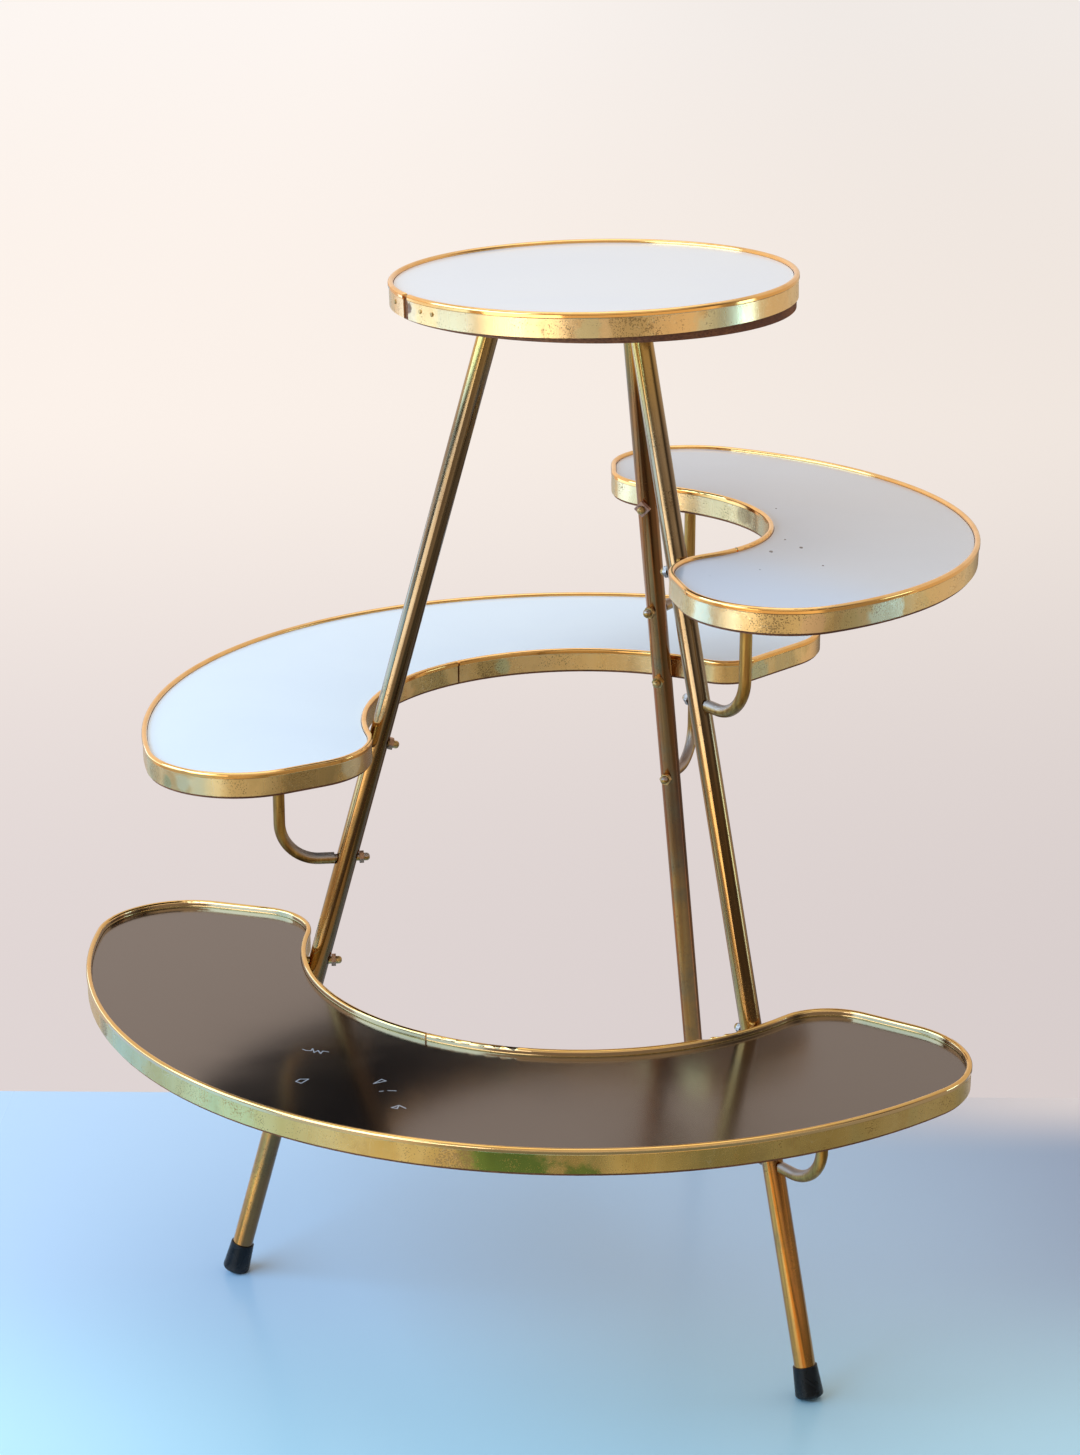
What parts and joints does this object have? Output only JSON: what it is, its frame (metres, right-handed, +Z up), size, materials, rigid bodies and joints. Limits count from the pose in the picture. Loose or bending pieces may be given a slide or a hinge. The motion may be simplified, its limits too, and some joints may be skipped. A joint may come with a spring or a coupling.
{
  "type": "tiered plant stand",
  "caption": "Tripod plant stand with a round top tray and crescent shelves climbing in a spiral, laminate tops with brass edge bands on bent rod brackets.",
  "frame": {"origin": "on the floor, under the middle of the overall box", "axes": "+Z up, +X to the right and -Y towards the front as pictured"},
  "size_m": [0.6782, 0.7288, 0.8022],
  "materials": {
    "brass_tube": "aged, streaked",
    "brass_band": "satin with spotted tarnish",
    "brass_rod": "aged",
    "brass_fastener": "dull",
    "steel": "dull plated",
    "rusty_steel": "browned",
    "rubber": "matte",
    "dark_board": "stained edge",
    "white_laminate": "semi-gloss",
    "pale_blue_laminate": "semi-gloss",
    "pale_grey_laminate": "semi-gloss",
    "black_laminate": "semi-gloss, scuffed"
  },
  "bodies": {
    "root": {"foot_left": "rubber", "foot_rear": "rubber", "foot_right": "rubber", "leg_left": "brass_tube", "leg_rear": "brass_tube", "leg_right": "brass_tube", "lower_band": "brass_band", "lower_board": "dark_board", "lower_bracket_left": "brass_rod", "lower_bracket_right": "brass_rod", "lower_laminate": "black_laminate", "lower_rim_bolts": "brass_fastener", "middle_band": "brass_band", "middle_board": "dark_board", "middle_bracket_left": "brass_rod", "middle_bracket_rear": "brass_rod", "middle_laminate": "pale_blue_laminate", "middle_rim_bolts": "brass_fastener", "nuts_left": "brass_fastener", "nuts_rear": "brass_fastener", "nuts_right": "steel", "square_nut": "rusty_steel", "tray_band": "brass_band", "tray_board": "dark_board", "tray_laminate": "white_laminate", "tray_socket_left": "steel", "tray_socket_rear": "steel", "tray_socket_right": "steel", "tray_socket_screws": "steel", "tray_tacks": "brass_fastener", "upper_band": "brass_band", "upper_board": "dark_board", "upper_bracket_rear": "brass_rod", "upper_bracket_right": "brass_rod", "upper_laminate": "pale_grey_laminate", "upper_rim_bolts": "brass_fastener"}
  },
  "joints": []
}
